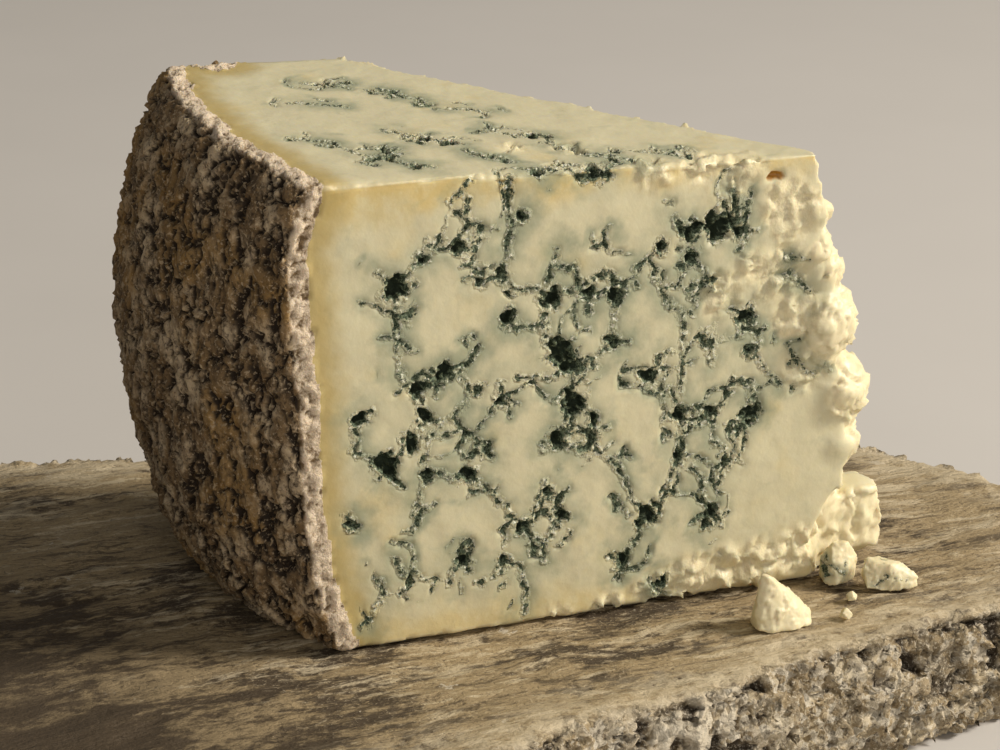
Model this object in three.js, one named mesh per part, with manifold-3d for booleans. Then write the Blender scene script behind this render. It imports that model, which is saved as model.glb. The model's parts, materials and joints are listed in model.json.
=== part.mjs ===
// A wedge of blue-veined cheese and the crumbs that fell from it, on a rough board of split stone.
// Millimetres, +Z up. The board's underside lies on z = 0 and the origin is under its middle.
// The wedge's front cut faces -Y, its rind is on the left (-X) and its broken tip on the right (+X).
import * as THREE from "three";
import { ImprovedNoise } from "three/addons/math/ImprovedNoise.js";
import { mergeVertices } from "three/addons/utils/BufferGeometryUtils.js";
import Module from "manifold-3d";

const wasm = await Module();
wasm.setup();
const perlin = new ImprovedNoise();

// ---- Driving dimensions ----

// The board: a slab with a blunt nose to the right, measured on its upper face.
const BOARD_THICKNESS = 25;
const BOARD_LEFT = -146; // left end
const BOARD_NOSE = { x: 152, y: -38 }; // the right-hand point
const BOARD_SHOULDER = { x: 103, y: 32 }; // where the back edge turns towards the nose
const BOARD_BACK = 88; // back edge at the left end
const BOARD_BACK_BEND = { x: -78, y: 83 }; // where the back edge starts to close in
const BOARD_FRONT = -82; // front edge at the left end
const BOARD_FRONT_BEND = { x: -42, y: -75 }; // where the front edge starts to close in
const BOARD_LEFT_LEAN = 7; // the left end's back corner stands this far in from its front corner
const BOARD_CORNER_RADIUS = 14;
const BOARD_BATTER = 6; // the broken sides spread this much from the upper edge to their widest level
const BOARD_FOOT_TUCK = 3; // and draw in again below it
const BOARD_SIDE_ROUGHNESS = 3.2; // depth of the broken sides' hollows
const BOARD_SIDE_BUMP = 17; // and their width
const BOARD_EDGE_WEAR = 0.45; // share of that roughness left along the upper and lower edges
const BOARD_OUTLINE_POINTS = 132;
const BOARD_LEVELS = [0, 0.12, 0.3, 0.5, 0.7, 0.88, 1]; // shares of the thickness

// The wedge, from the foot of its front left corner.
const WEDGE_CORNER = { x: -34.5, y: -31 }; // where that foot stands on the board
const WEDGE_HEIGHT = 92; // at the front left corner
const TOP_FALL_TO_TIP = 0.041; // the upper cut drops by this much per millimetre towards the tip
const TOP_RISE_TO_BACK = 0.045; // and rises by this much towards the back
const FRONT_CUT_FOOT = 108; // length of the front cut along the board
const FRONT_CUT_TOP = 95.5; // and along the upper edge
const TIP_WIDTH_FOOT = 13; // thickness of the blunt broken tip
const TIP_WIDTH_TOP = 3;
const RIND_LEAN = 13; // the rind's back end stands this far left of its front end
const RIND_RUN = 73; // front to back length of the rind
const RIND_BOW_TOP = 5; // how far the rind bows out of its chord in plan, at the upper edge
const RIND_BOW_FOOT = 9.5; // and at the foot
const RIND_BARREL = 12; // how far it swells at half height, at its back end
const RIND_FOOT_ROUND = 3; // the rind's lower edge is rounded under by this much at its back end
const RIND_FOOT_ROUND_FRONT = 0.6; // and at its front end
const BACK_RIDGE = { x: 23, beyond: 1 }; // a soft ridge in the back face, this far beyond the rind's end
const BARREL_FULLNESS = 0.8; // below 1 the rind's swelling is fuller near its upper and lower edges
const FOOT_ROUND_HEIGHT = 0.06; // share of the height in which the rind's foot is rounded

// Each face of the wedge: depth and width of its bumps, and the number of points along it in plan.
const FRONT_FACE = { rough: 0.25, size: 9, points: 26 };
const TIP_FACE = { rough: 1.4, size: 7, points: 4 };
const BACK_FACE = { rough: 1.6, size: 14, points: 22 };
const BACK_END_FACE = { rough: 1.6, size: 14, points: 9 };
const RIND_FACE = { rough: 1.0, size: 8, points: 22 };
const WEDGE_LEVELS = [0, 0.03, 0.07, 0.14, 0.24, 0.36, 0.5, 0.64, 0.76, 0.86, 0.94, 0.98, 1];
// How far the rind's front corner stands out past its foot, at each of those levels.
const RIND_CORNER_OUT = [0, 0.9, 2.2, 3.9, 5.4, 6.2, 6.4, 6.8, 7.3, 7.6, 6.6, 5, 3.2];

// Knobs of curd standing out of the broken tip. rise is the share of the wedge's height and out is
// how far the knob's middle stands past the tip's front edge. in is its distance behind the front cut
// or, for those at the back, behind the tip's back edge.
const FRONT_KNOBS = [
  { rise: 0.83, out: -2.1, in: 3, radius: 4.2 },
  { rise: 0.755, out: -3.2, in: 3, radius: 4.7 },
  { rise: 0.695, out: -1.5, in: 4, radius: 5.2 },
  { rise: 0.58, out: -2.5, in: 5, radius: 8.5 },
  { rise: 0.42, out: 0.4, in: 5, radius: 7.2 },
  { rise: 0.3, out: -1.3, in: 5, radius: 5.8 },
];
const BACK_KNOBS = [
  { rise: 0.5, out: -4.0, in: 5, radius: 7.0 },
  { rise: 0.25, out: -3.0, in: 3.5, radius: 7.4 },
];
const KNOB_ROUGHNESS = 0.12; // share of a knob's radius
// At the tip's foot: a block whose middle stands out past the tip and this far in from its back edge.
const FOOT_CHUNK = { out: 2.3, in: 4.5, width: 13, depth: 13, height: 17.6 };
// The corner that broke off the front cut's foot, as corners of the missing piece, from the tip's foot.
const FOOT_NOTCH = [
  [-9.5, -6, -1], [-12, -6, 8], [-7.5, -6, 18], [-3, -6, 22], [18, -6, 22], [18, -6, -1],
  [-8.5, 2.6, -1], [-11, 2.2, 8], [-6.5, 3, 17], [-2, 4.2, 20.5], [18, 7.5, 20.5], [18, 7.5, -1],
];
const CHUNK_SQUARENESS = 0.55; // 0 is a ball and 1 a box

// Corners of the crumbs, from the middle of the foot, before the turn.
const SHARP_CORNERS = [
  [-4.6, 0.2, 11.5], [-3.4, -0.9, 11.2], [-3.2, 1.0, 10.9], [0.6, 0.9, 8.2], [3.6, 0.2, 5.6],
  [-6.2, -0.6, 3.2], [-5.8, -1.9, 0.6], [-5.2, 2.4, 0], [-3.4, -3.4, 0], [1.4, -4.2, 0],
  [5.4, -3.0, 0], [6.2, -1.2, 1.9], [5.9, 1.6, 0], [2.4, 4.2, 0], [-1.6, 4.0, 1.6], [1.0, -2.6, 4.6],
];
const ROUND_CORNERS = [
  [-3.9, -0.8, 1.2], [-3.6, 0.9, 5.6], [-2.2, -2.8, 0.4], [-2.6, -2.0, 6.4], [-1.2, 0.4, 8.4],
  [0.4, -3.4, 3.2], [1.0, -2.6, 0], [1.4, -1.2, 8.6], [2.6, 1.0, 7.8], [3.8, -1.8, 5.4], [4.3, 0.2, 2.6],
  [3.4, -1.6, 0.2], [2.6, 2.4, 0.4], [0.2, 3.4, 2.8], [-1.4, 3.0, 0], [-3.0, 2.0, 1.2], [0.6, 2.8, 6.4],
  [-3.4, -1.4, 0], [2.8, 0.6, 0], [-1.0, -2.4, 0],
];
const SMALL_CORNERS = [
  [-1.0, -0.6, 0.1], [-0.9, 0.4, 1.1], [-0.5, 1.0, 0], [-0.2, -1.0, 0.9], [0.1, 0.1, 1.7], [0.5, -0.9, 0],
  [0.9, 0.7, 0.2], [1.1, -0.2, 0.8], [0.4, 0.9, 1.0], [-0.8, -0.5, 0], [0.9, 0.2, 0],
];
const LONG_CORNERS = [
  [-4.9, 0.3, 6.2], [-5.6, -1.2, 4.4], [-5.7, 1.2, 2.4], [-4.8, -2.6, 0.5], [-4.4, 2.5, 0],
  [-2.0, 1.6, 6.0], [-1.4, -2.9, 0], [-0.2, -1.5, 5.4], [1.8, 2.8, 0], [2.6, 0.8, 4.7],
  [3.4, -2.4, 0], [5.0, 1.4, 0], [5.75, -0.5, 2.3], [5.5, -1.5, 0.3], [1.2, -2.6, 2.6],
];
// Crumbs on the board: past is measured along the front cut from the tip's foot, y from the front
// cut, and size multiplies the corners.
const CRUMBS = {
  sharp_crumb: { past: -24, y: -15.5, corners: SHARP_CORNERS, turn: 0.1, size: 1 },
  long_crumb: { past: 3.2, y: -7.5, corners: LONG_CORNERS, turn: -0.28, size: 1 },
  round_crumb: { past: -5.6, y: -1.9, corners: ROUND_CORNERS, turn: 0.2, size: 1 },
  small_crumb_left: { past: -10.8, y: -17.3, corners: SMALL_CORNERS, turn: 0.9, size: 1.35 },
  small_crumb_right: { past: -6.4, y: -10.6, corners: SMALL_CORNERS, turn: 0.1, size: 1.05 },
};

const REST_GAP = 0.3; // clearance between touching pieces
const COLOURS = {
  stone: { color: 0x6b5c48, roughness: 0.9, metalness: 0 },
  cheese: { color: 0xe6d9a4, roughness: 0.55, metalness: 0 },
};

// ---- Helpers ----

// Two octaves of smooth noise, about -1 to 1, with features of the given size in millimetres.
function roughness(point, size) {
  const [x, y, z] = [point.x / size, point.y / size, point.z / size];
  return perlin.noise(x, y, z) + 0.5 * perlin.noise(2 * x + 5, 2 * y + 5, 2 * z + 5);
}

function blend(a, b, share) {
  return a + (b - a) * share;
}

// A closed skin over rings of points that run counterclockwise seen from above, lowest ring first.
function loft(rings) {
  const count = rings[0].length;
  const positions = rings.flat().flatMap((p) => [p.x, p.y, p.z]);
  const triangles = [];
  for (let ring = 0; ring + 1 < rings.length; ring++) {
    for (let i = 0; i < count; i++) {
      const next = (i + 1) % count;
      const [a, b] = [ring * count + i, ring * count + next];
      triangles.push(a, b, b + count, a, b + count, a + count);
    }
  }
  const flat = (ring) => ring.map((p) => new THREE.Vector2(p.x, p.y));
  const topStart = (rings.length - 1) * count;
  for (const [a, b, c] of THREE.ShapeUtils.triangulateShape(flat(rings[0]), [])) {
    triangles.push(a, c, b);
  }
  for (const [a, b, c] of THREE.ShapeUtils.triangulateShape(flat(rings.at(-1)), [])) {
    triangles.push(topStart + a, topStart + b, topStart + c);
  }
  const geometry = new THREE.BufferGeometry();
  geometry.setAttribute("position", new THREE.Float32BufferAttribute(positions, 3));
  geometry.setIndex(triangles);
  return geometry;
}

function toSolid(geometry) {
  const bare = geometry.clone();
  bare.deleteAttribute("normal");
  bare.deleteAttribute("uv");
  const merged = mergeVertices(bare, 1e-3);
  return new wasm.Manifold(
    new wasm.Mesh({
      numProp: 3,
      vertProperties: new Float32Array(merged.attributes.position.array),
      triVerts: new Uint32Array(merged.index.array),
    }),
  );
}

function toGeometry(solid) {
  const mesh = solid.getMesh();
  const geometry = new THREE.BufferGeometry();
  geometry.setAttribute("position", new THREE.Float32BufferAttribute(mesh.vertProperties, 3));
  geometry.setIndex(new THREE.BufferAttribute(mesh.triVerts, 1));
  geometry.computeVertexNormals();
  return geometry;
}

// A rounded lump of the given half sizes, with its surface pushed in and out by noise.
function lump(half, seed, bumpSize, bumpDepth, detail = 3) {
  const geometry = new THREE.IcosahedronGeometry(1, detail);
  const position = geometry.attributes.position;
  const point = new THREE.Vector3();
  for (let i = 0; i < position.count; i++) {
    point.fromBufferAttribute(position, i);
    const shifted = point.clone().multiply(half).addScalar(seed * 10);
    point.multiplyScalar(1 + bumpDepth * roughness(shifted, bumpSize));
    position.setXYZ(i, point.x * half.x, point.y * half.y, point.z * half.z);
  }
  return geometry;
}

// The part of a solid above z = 0, cut flat.
function flatBottomed(solid, reach) {
  const below = new THREE.BoxGeometry(4 * reach, 4 * reach, 2 * reach).translate(0, 0, -reach);
  return solid.subtract(toSolid(below));
}

// ---- The board ----

// Outline of the upper face, counterclockwise, with rounded corners.
function boardOutline() {
  const left = BOARD_LEFT;
  const corners = [
    [left, BOARD_FRONT],
    [BOARD_FRONT_BEND.x, BOARD_FRONT_BEND.y],
    [BOARD_NOSE.x, BOARD_NOSE.y],
    [BOARD_SHOULDER.x, BOARD_SHOULDER.y],
    [BOARD_BACK_BEND.x, BOARD_BACK_BEND.y],
    [left + BOARD_LEFT_LEAN, BOARD_BACK],
  ].map(([x, y]) => new THREE.Vector2(x, y));
  const shape = new THREE.Shape();
  corners.forEach((corner, i) => {
    const before = corners.at(i - 1);
    const after = corners[(i + 1) % corners.length];
    const arrive = before.clone().sub(corner).setLength(BOARD_CORNER_RADIUS).add(corner);
    const leave = after.clone().sub(corner).setLength(BOARD_CORNER_RADIUS).add(corner);
    if (i === 0) shape.moveTo(arrive.x, arrive.y);
    else shape.lineTo(arrive.x, arrive.y);
    shape.quadraticCurveTo(corner.x, corner.y, leave.x, leave.y);
  });
  shape.closePath();
  return shape.getSpacedPoints(BOARD_OUTLINE_POINTS).slice(0, -1);
}

// The sides spread quickly below the upper edge, hang almost straight, and tuck in at the foot.
function boardRing(outline, level) {
  const spread = BOARD_BATTER * Math.sin(Math.min(1, 1.6 * (1 - level)) * 0.5 * Math.PI);
  const tuck = level === 0 ? BOARD_FOOT_TUCK : 0;
  const wear = level === 0 || level === 1 ? BOARD_EDGE_WEAR : 1;
  return outline.map((p) => {
    const at = new THREE.Vector3(p.x, p.y, level * BOARD_THICKNESS);
    const bump = BOARD_SIDE_ROUGHNESS * wear * roughness(at, BOARD_SIDE_BUMP);
    const out = p.clone().setLength(spread - tuck + bump);
    return at.add(new THREE.Vector3(out.x, out.y, 0));
  });
}

function boardGeometry() {
  const outline = boardOutline();
  const geometry = loft(BOARD_LEVELS.map((level) => boardRing(outline, level)));
  geometry.computeBoundingBox();
  const centre = geometry.boundingBox.getCenter(new THREE.Vector3());
  geometry.translate(-centre.x, -centre.y, 0);
  return geometry;
}

// ---- The wedge ----

function topHeight(x, y) {
  return WEDGE_HEIGHT - TOP_FALL_TO_TIP * x + TOP_RISE_TO_BACK * y;
}

// A face's plan line at one height, from start to end, bowed out to its left or right by bend.
function planLine(start, end, face, bend = new THREE.Vector2(0, 0)) {
  const control = start.clone().lerp(end, 0.5).add(bend);
  const points = new THREE.QuadraticBezierCurve(start, control, end).getSpacedPoints(face.points);
  return { face, points: points.slice(0, -1) };
}

// The plan at one share of the height, as the lines of its faces, counterclockwise from the front.
function wedgePlan(share) {
  const swell = Math.sin(Math.PI * share) ** BARREL_FULLNESS;
  const tuck = Math.max(0, 1 - share / FOOT_ROUND_HEIGHT);
  const tipX = blend(FRONT_CUT_FOOT, FRONT_CUT_TOP, share);
  const tipWidth = blend(TIP_WIDTH_FOOT, TIP_WIDTH_TOP, share);
  const frontX = RIND_FOOT_ROUND_FRONT * tuck - RIND_CORNER_OUT[WEDGE_LEVELS.indexOf(share)];
  const backX = RIND_FOOT_ROUND * tuck - RIND_BARREL * swell - RIND_LEAN;
  const front = new THREE.Vector2(frontX, 0);
  const tip = new THREE.Vector2(tipX, 0);
  const tipBack = new THREE.Vector2(tipX - 0.25 * tipWidth, tipWidth);
  const ridge = new THREE.Vector2(BACK_RIDGE.x, RIND_RUN + BACK_RIDGE.beyond);
  const back = new THREE.Vector2(backX, RIND_RUN);
  const bow = blend(RIND_BOW_FOOT, RIND_BOW_TOP, share);
  const rindBend = new THREE.Vector2(front.y - back.y, back.x - front.x).setLength(2 * bow);
  return [
    planLine(front, tip, FRONT_FACE),
    planLine(tip, tipBack, TIP_FACE),
    planLine(tipBack, ridge, BACK_FACE),
    planLine(ridge, back, BACK_END_FACE),
    planLine(back, front, RIND_FACE, rindBend),
  ];
}

// One ring of the wedge's skin, each face pushed in and out by its own roughness.
function wedgeRing(share) {
  const middle = new THREE.Vector2(FRONT_CUT_FOOT / 3, RIND_RUN / 3);
  return wedgePlan(share).flatMap(({ face, points }) =>
    points.map((p) => {
      const at = new THREE.Vector3(p.x, p.y, share * topHeight(p.x, p.y));
      const out = p.clone().sub(middle).setLength(face.rough * roughness(at, face.size));
      const pushed = p.clone().add(out);
      return new THREE.Vector3(pushed.x, pushed.y, share * topHeight(pushed.x, pushed.y));
    }),
  );
}

function ballOf(radius) {
  return new THREE.Vector3(1, 1, 1).multiplyScalar(radius);
}

// A knob whose in is measured from the line at startY behind the front cut.
function tipKnob(knob, startY, seed) {
  const tipX = blend(FRONT_CUT_FOOT, FRONT_CUT_TOP, knob.rise);
  const shape = lump(ballOf(knob.radius), seed, knob.radius, KNOB_ROUGHNESS);
  return shape.translate(tipX + knob.out, startY + knob.in, knob.rise * WEDGE_HEIGHT);
}

function tipKnobs() {
  const backEdge = (rise) => blend(TIP_WIDTH_FOOT, TIP_WIDTH_TOP, rise);
  const front = FRONT_KNOBS.map((knob, i) => tipKnob(knob, 0, i + 0.4));
  const back = BACK_KNOBS.map((knob, i) => tipKnob(knob, backEdge(knob.rise), i + 9.4));
  return [...front, ...back];
}

function footChunk() {
  const { out, width, depth, height } = FOOT_CHUNK;
  const shape = boxyLump(new THREE.Vector3(width / 2, depth / 2, height / 2), 2.6);
  return shape.translate(FRONT_CUT_FOOT + out, TIP_WIDTH_FOOT - FOOT_CHUNK.in, height / 2);
}

function footNotch() {
  return wasm.Manifold.hull(FOOT_NOTCH.map(([past, y, z]) => [FRONT_CUT_FOOT + past, y, z]));
}

function wedgeGeometry() {
  let solid = toSolid(loft(WEDGE_LEVELS.map(wedgeRing)));
  for (const lumpOfCurd of [...tipKnobs(), footChunk()]) {
    solid = solid.add(toSolid(lumpOfCurd));
  }
  solid = solid.subtract(footNotch());
  return toGeometry(flatBottomed(solid, FRONT_CUT_FOOT));
}

// A lump with flattened sides, between a ball and a box.
function boxyLump(half, seed) {
  const geometry = lump(ballOf(1), seed, 0.9, 0.08);
  const position = geometry.attributes.position;
  const point = new THREE.Vector3();
  for (let i = 0; i < position.count; i++) {
    point.fromBufferAttribute(position, i);
    const square = Math.max(Math.abs(point.x), Math.abs(point.y), Math.abs(point.z));
    point.multiplyScalar(blend(1, 1 / square, CHUNK_SQUARENESS) / blend(1, 1.2, CHUNK_SQUARENESS));
    position.setXYZ(i, point.x * half.x, point.y * half.y, point.z * half.z);
  }
  return geometry;
}

// ---- Crumbs ----

// A broken crumb: the solid that its corners span.
function crumbGeometry({ corners, size }) {
  return toGeometry(wasm.Manifold.hull(corners.map((corner) => corner.map((value) => value * size))));
}

// ---- Assembly ----

function named(name, geometry, finish) {
  const mesh = new THREE.Mesh(geometry, new THREE.MeshStandardMaterial(COLOURS[finish]));
  mesh.name = name;
  return mesh;
}

const object = new THREE.Group();
object.add(named("stone_board", boardGeometry(), "stone"));

const onBoard = new THREE.Group();
onBoard.position.set(WEDGE_CORNER.x, WEDGE_CORNER.y, BOARD_THICKNESS + REST_GAP);
onBoard.add(named("cheese_wedge", wedgeGeometry(), "cheese"));
for (const [name, crumb] of Object.entries(CRUMBS)) {
  const mesh = named(name, crumbGeometry(crumb), "cheese");
  mesh.position.set(FRONT_CUT_FOOT + crumb.past, crumb.y, 0);
  mesh.rotation.z = crumb.turn;
  onBoard.add(mesh);
}
object.add(onBoard);

export default object;
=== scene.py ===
"""A wedge of blue-veined cheese and its crumbs on a board of split stone."""

import json
import math

import bmesh
import bpy
from bpy.props import FloatProperty, FloatVectorProperty, IntProperty, PointerProperty
from mathutils import Color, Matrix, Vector
from mathutils.bvhtree import BVHTree
from mathutils.kdtree import KDTree

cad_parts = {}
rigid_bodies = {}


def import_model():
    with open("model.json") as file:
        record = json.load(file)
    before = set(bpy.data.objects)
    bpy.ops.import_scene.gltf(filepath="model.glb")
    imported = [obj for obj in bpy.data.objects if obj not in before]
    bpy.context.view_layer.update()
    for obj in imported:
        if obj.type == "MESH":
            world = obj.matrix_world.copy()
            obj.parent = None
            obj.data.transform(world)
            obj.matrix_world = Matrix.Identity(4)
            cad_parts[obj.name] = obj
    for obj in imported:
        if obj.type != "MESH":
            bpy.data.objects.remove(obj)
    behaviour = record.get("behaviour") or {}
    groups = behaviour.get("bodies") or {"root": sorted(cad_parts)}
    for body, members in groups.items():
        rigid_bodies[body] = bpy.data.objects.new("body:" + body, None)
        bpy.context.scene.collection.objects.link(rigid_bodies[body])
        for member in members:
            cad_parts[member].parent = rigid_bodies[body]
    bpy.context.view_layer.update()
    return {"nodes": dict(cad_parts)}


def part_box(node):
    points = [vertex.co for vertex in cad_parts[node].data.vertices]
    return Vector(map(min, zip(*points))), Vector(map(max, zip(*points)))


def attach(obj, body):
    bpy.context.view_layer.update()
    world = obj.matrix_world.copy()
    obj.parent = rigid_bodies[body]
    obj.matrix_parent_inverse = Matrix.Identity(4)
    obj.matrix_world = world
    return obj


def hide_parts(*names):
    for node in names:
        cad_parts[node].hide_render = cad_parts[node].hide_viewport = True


bl_info = {
    "name": "Blue cheese wedge on a stone board",
    "version": (1, 0, 0),
    "blender": (4, 5, 0),
    "location": "3D View > Sidebar > Cheese board",
    "description": "Builds a wedge of blue-veined cheese, its crumbs and the stone board under them",
    "category": "Object",
}

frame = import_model()
MM = 0.001

CRUMB_NODES = ("sharp_crumb", "long_crumb", "round_crumb", "small_crumb_left", "small_crumb_right")


# ---- What a user would change ----


def length(name, description, millimetres):
    return FloatProperty(name=name, description=description, default=millimetres * MM,
                         min=0.0, precision=5, subtype="DISTANCE", unit="LENGTH")


def colour(name, description, red, green, blue):
    return FloatVectorProperty(name=name, description=description, subtype="COLOR", size=3,
                               default=(red, green, blue), min=0.0, max=1.0)


class CheeseSettings(bpy.types.PropertyGroup):
    """Sizes and colours of the cheese."""

    grain: length("Grain", "Spacing of the wedge's mesh on its hidden faces", 1.4)
    crumb_grain: length("Crumb grain", "Spacing of the crumbs' mesh", 0.35)
    vein_depth: length("Vein depth", "How deep the cracks and hollows of the mould go", 3.0)
    curd_size: length("Curd size", "Width of the clods where the curd is broken", 5.0)
    curd_relief: length("Curd relief", "How far those clods stand out", 0.5)
    rind_thickness: length("Rind thickness", "Thickness of the rind where it is cut", 4.5)
    rind_relief: length("Rind relief", "Height of the rind's bumps", 1.7)
    seed: IntProperty(name="Seed", description="Shifts every random pattern", default=3)
    paste: colour("Paste", "The cream paste", 0.65, 0.585, 0.375)
    butter: colour("Butter", "The yellower paste at worn edges and in the crumbs", 0.66, 0.50, 0.20)
    open_curd: colour("Open curd", "Paste where it broke or crumbles", 0.78, 0.68, 0.435)
    amber: colour("Amber", "The dried paste right under the rind", 0.46, 0.335, 0.11)
    stain: colour("Stain", "The grey green stain around the mould", 0.275, 0.30, 0.195)
    crust: colour("Crust", "The pale crumbs along the cracks", 0.70, 0.68, 0.52)
    # Near black: the mould's colour together with painted shade deep in the cracks
    mould: colour("Mould", "The mould inside the cracks", 0.020, 0.030, 0.013)
    dusk: colour("Dusk", "Dark specks along the cracks", 0.035, 0.05, 0.024)
    grey_crumb: colour("Grey crumb", "Mouldy crumbs inside the cracks", 0.17, 0.205, 0.125)
    orange: colour("Orange", "The small holes without mould", 0.42, 0.185, 0.012)
    # The rind's dark patches, and the painted shade in its crevices
    rind_dark_and_crevice_shade: colour("Rind, dark", "The rind's hollows", 0.034, 0.020, 0.009)
    rind_brown: colour("Rind, brown", "The rind's usual brown", 0.215, 0.135, 0.06)
    rind_bloom: colour("Rind, bloom", "The pale bloom on the rind", 0.56, 0.425, 0.265)
    rind_ochre: colour("Rind, ochre", "Ochre patches on the rind", 0.31, 0.18, 0.055)
    rind_cut: colour("Rind, cut", "The pale lumps where the rind is cut", 0.70, 0.56, 0.40)


class BoardSettings(bpy.types.PropertyGroup):
    """Sizes and colours of the stone board."""

    grain: length("Grain", "Spacing of the board's mesh on its plain faces", 1.5)
    streak_relief: length("Streak relief", "Depth of the splits in the upper face", 0.6)
    side_relief: length("Side relief", "Depth of the pits in the broken sides", 2.7)
    chip_size: length("Chip size", "Width of the flat chips of the broken sides", 5.0)
    seed: IntProperty(name="Seed", description="Shifts every random pattern", default=5)
    brown: colour("Brown", "The upper face's usual brown", 0.36, 0.265, 0.14)
    dark: colour("Dark", "The upper face's dark streaks", 0.07, 0.047, 0.024)
    pale: colour("Pale", "Scrapes and grains on the upper face", 0.62, 0.51, 0.335)
    broken: colour("Broken stone", "The fresh stone of the sides", 0.60, 0.525, 0.40)
    # Also painted as shade where the broken sides sink
    pit: colour("Pits", "The hollows of the sides", 0.055, 0.036, 0.018)


class StageSettings(bpy.types.PropertyGroup):
    """The floor, the lights and the camera."""

    floor_colour: colour("Floor", "The plain floor", 0.62, 0.58, 0.53)
    key_power: FloatProperty(name="Key light", description="Power of the main light",
                             default=20.0, min=0.0, unit="POWER")
    fill_power: FloatProperty(name="Fill light", description="Power of the light from the front",
                              default=20.5, min=0.0, unit="POWER")
    camera_height: length("Camera height", "Height of the camera over the board", 231)
    camera_lens: FloatProperty(name="Lens", description="Focal length on a 36 mm frame",
                               default=93.6, min=10.0, subtype="DISTANCE_CAMERA")


# ---- Node trees, written as expressions ----


class Graph:
    """Adds nodes to a tree and links them, so that a pattern reads as one expression a line."""

    def __init__(self, tree):
        self.tree = tree

    def feed(self, socket, value):
        if isinstance(value, bpy.types.NodeSocket):
            self.tree.links.new(value, socket)
        elif value is not None:
            socket.default_value = value

    def node(self, kind, inputs=None, **settings):
        made = self.tree.nodes.new(kind)
        for key, value in settings.items():
            setattr(made, key, value)
        for key, value in (inputs or {}).items():
            self.feed(made.inputs[key], value)
        return made

    def math(self, operation, *values):
        made = self.node("ShaderNodeMath", operation=operation)
        for socket, value in zip(made.inputs, values):
            self.feed(socket, value)
        return made.outputs[0]

    def add(self, a, b):
        return self.math("ADD", a, b)

    def sub(self, a, b):
        return self.math("SUBTRACT", a, b)

    def mul(self, a, b):
        return self.math("MULTIPLY", a, b)

    def both(self, *values):
        """The product of several shares."""
        result = values[0]
        for value in values[1:]:
            result = self.mul(result, value)
        return result

    def sum(self, *values):
        result = values[0]
        for value in values[1:]:
            result = self.add(result, value)
        return result

    def vector(self, operation, a, b=None, scale=None):
        made = self.node("ShaderNodeVectorMath", operation=operation)
        self.feed(made.inputs[0], a)
        self.feed(made.inputs[1], b)
        self.feed(made.inputs[3], scale)
        return made.outputs[1 if operation in ("DOT_PRODUCT", "LENGTH", "DISTANCE") else 0]

    def axis(self, vector, direction):
        return self.vector("DOT_PRODUCT", vector, direction)

    def step(self, value, low, high, start=0.0, end=1.0):
        """Runs smoothly from start to end as value goes from low to high."""
        inputs = {"Value": value, "From Min": low, "From Max": high, "To Min": start, "To Max": end}
        return self.node("ShaderNodeMapRange", inputs, interpolation_type="SMOOTHSTEP").outputs[0]

    def noise(self, at, size, detail=3.0, rough=0.55, shift=0.0):
        """Noise from 0 to 1 with features of this size, at a place in the same unit."""
        place = self.vector("ADD", at, (shift * 31.7, shift * 17.3, shift * 23.9)) if shift else at
        inputs = {"Vector": place, "Scale": 1 / size, "Detail": detail, "Roughness": rough}
        return self.node("ShaderNodeTexNoise", inputs).outputs[0]

    def uneven(self, height, at, size, *how, middle=0.5, **more):
        """Noise about zero, as high as this, with the middle of the noise taken as its zero."""
        return self.mul(self.sub(self.noise(at, size, *how, **more), middle), height)

    def sway(self, at, size, reach, detail=2.0):
        """The place, moved about by noise by up to half of reach."""
        inputs = {"Vector": at, "Scale": 1 / size, "Detail": detail}
        swirl = self.node("ShaderNodeTexNoise", inputs).outputs["Color"]
        centred = self.vector("SUBTRACT", swirl, (0.5, 0.5, 0.5))
        return self.vector("ADD", at, self.vector("SCALE", centred, scale=2 * reach))

    def cells(self, at, size, feature="F1", output="Distance"):
        """Cells of this size: the distance to their middles or edges, as a share of the size."""
        inputs = {"Vector": at, "Scale": 1 / size}
        return self.node("ShaderNodeTexVoronoi", inputs, feature=feature).outputs[output]

    def chips(self, at, size):
        """Heights of flat chips of this size, each tilted its own way, in the unit of the place."""
        cell = self.node("ShaderNodeTexVoronoi", {"Vector": at, "Scale": 1 / size})
        tilt = self.vector("SUBTRACT", cell.outputs["Color"], (0.5, 0.5, 0.5))
        return self.axis(tilt, self.vector("SUBTRACT", at, cell.outputs["Position"]))

    def mix(self, share, a, b):
        """The colour between a and b."""
        made = self.node("ShaderNodeMix", data_type="RGBA")
        for socket, value in ((0, share), (6, a), (7, b)):
            self.feed(made.inputs[socket], (*value, 1.0) if isinstance(value, (tuple, Color)) else value)
        return made.outputs[2]

    def coats(self, base, *coats):
        """A colour under coats of others. A coat is a value, the values between which it comes in,
        how much of it shows at most, and its colour."""
        for value, low, high, most, tint in coats:
            base = self.mix(self.step(value, low, high, 0.0, most), base, tint)
        return base

    def attribute(self, name):
        return self.node("ShaderNodeAttribute", attribute_name=name).outputs["Fac"]


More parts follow.
